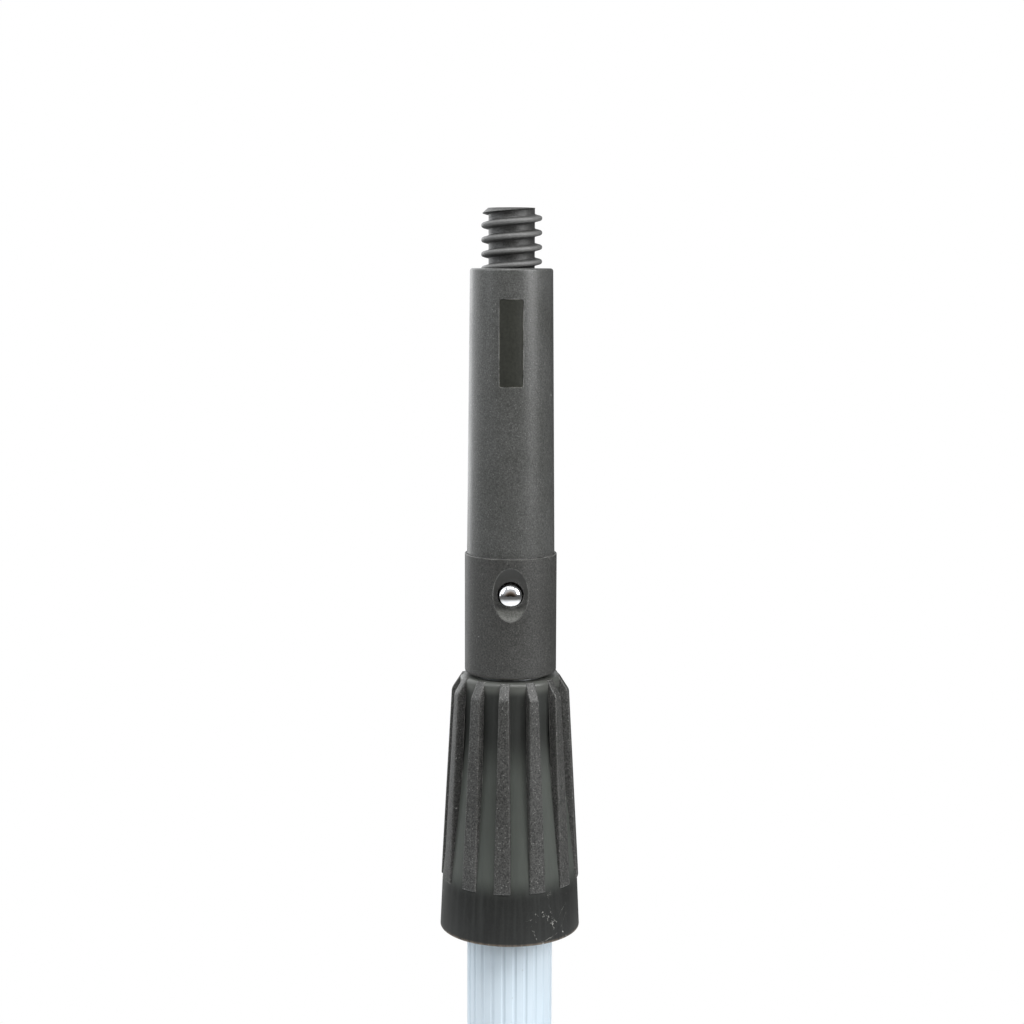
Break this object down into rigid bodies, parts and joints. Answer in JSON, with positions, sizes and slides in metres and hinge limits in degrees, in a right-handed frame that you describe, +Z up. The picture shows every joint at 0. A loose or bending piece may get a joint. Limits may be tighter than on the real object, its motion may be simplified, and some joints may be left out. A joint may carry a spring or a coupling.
{
  "type": "window cleaning pole",
  "caption": "Collapsible window cleaning pole: fluted tube with grip, ribbed twist-lock collar, snap-button socket and a tapered tip with a coarse tool thread.",
  "frame": {"origin": "centre of the end cap's flat foot, on the pole's axis", "axes": "+Z up the pole towards the tool thread, -Y towards the side with the snap button"},
  "size_m": [0.0506, 0.0506, 0.6508],
  "materials": {
    "tube_aluminium": "pale anodised, satin",
    "inner_aluminium": "plain drawn, satin",
    "tip_plastic": "fine spark-eroded texture",
    "socket_plastic": "fine spark-eroded texture",
    "collar_plastic": "textured ribs, smoother grooves and skirt",
    "bush_plastic": "natural nylon",
    "lock_plastic": "moulded, smooth",
    "label_plastic": "smooth, blank",
    "grip_rubber": "matt, moulded bands",
    "cap_plastic": "moulded, satin",
    "button_steel": "polished plate",
    "spring_steel": "rolled strip",
    "rivet_aluminium": "plain"
  },
  "bodies": {
    "lower_section": {"outer_tube": "tube_aluminium", "end_cap": "cap_plastic", "end_cap_rivets": "rivet_aluminium", "hand_grip": "grip_rubber", "lock_body": "lock_plastic", "lock_body_rivets": "rivet_aluminium", "lock_ring": "bush_plastic"},
    "collar": {"lock_collar": "collar_plastic"},
    "upper_section": {"inner_tube": "inner_aluminium", "guide_bush": "bush_plastic", "guide_bush_pin": "spring_steel", "stop_sleeve": "bush_plastic", "socket": "socket_plastic", "socket_rivet": "rivet_aluminium", "threaded_tip": "tip_plastic", "tip_label": "label_plastic", "leaf_spring": "spring_steel"},
    "button": {"snap_button": "button_steel", "button_washer": "spring_steel"}
  },
  "joints": [
    {"name": "collar_turn", "type": "hinge", "parent": "lower_section", "child": "collar", "pos_m": [0, 0, 0.44], "axis": [0, 0, 1], "range_deg": [0, 90]},
    {"name": "inner_slide", "type": "slide", "parent": "lower_section", "child": "upper_section", "axis": [0, 0, 1], "range_m": [0, 0.339]},
    {"name": "button_press", "type": "slide", "parent": "upper_section", "child": "button", "axis": [0, 1, 0], "range_m": [0, 0.0084], "stiffness_N_per_m": 2000, "deforming": ["leaf_spring"]}
  ]
}
